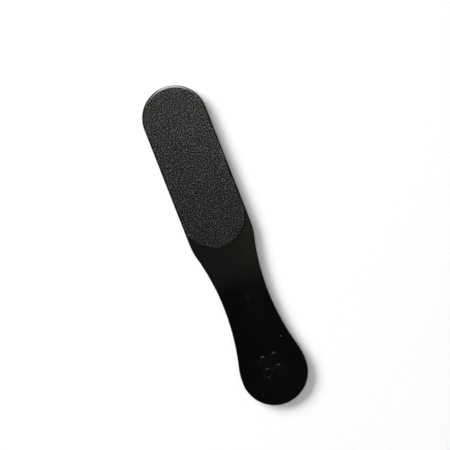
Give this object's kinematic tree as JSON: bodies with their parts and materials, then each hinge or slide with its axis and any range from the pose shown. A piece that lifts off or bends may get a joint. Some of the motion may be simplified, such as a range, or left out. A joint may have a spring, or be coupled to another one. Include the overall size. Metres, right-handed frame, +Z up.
{
  "type": "foot file",
  "caption": "Flat paddle foot file with a long round-ended head, slim waist and round handle end, and an abrasive pad bonded to each face of the head for smoothing hard skin.",
  "frame": {"origin": "under the middle of the file's length and width, in the plane of the rear pad's abrasive face, on which it lies", "axes": "+Y along the file from the handle to the tip of the head, +X across it to the right seen from the front, +Z up out of the front pad"},
  "size_m": [0.0428, 0.216, 0.0064],
  "materials": {
    "body_plastic": "satin black moulding",
    "adhesive_film": "clear amber pressure-sensitive film",
    "backing_paper": "latex-treated dark paper with a pale cut edge",
    "coarse_grit": "coarse black silicon carbide in resin",
    "fine_grit": "fine black silicon carbide in resin"
  },
  "bodies": {
    "root": {"file_body": "body_plastic", "front_adhesive": "adhesive_film", "front_backing": "backing_paper", "front_grit": "coarse_grit", "rear_adhesive": "adhesive_film", "rear_backing": "backing_paper", "rear_grit": "fine_grit"}
  },
  "joints": []
}
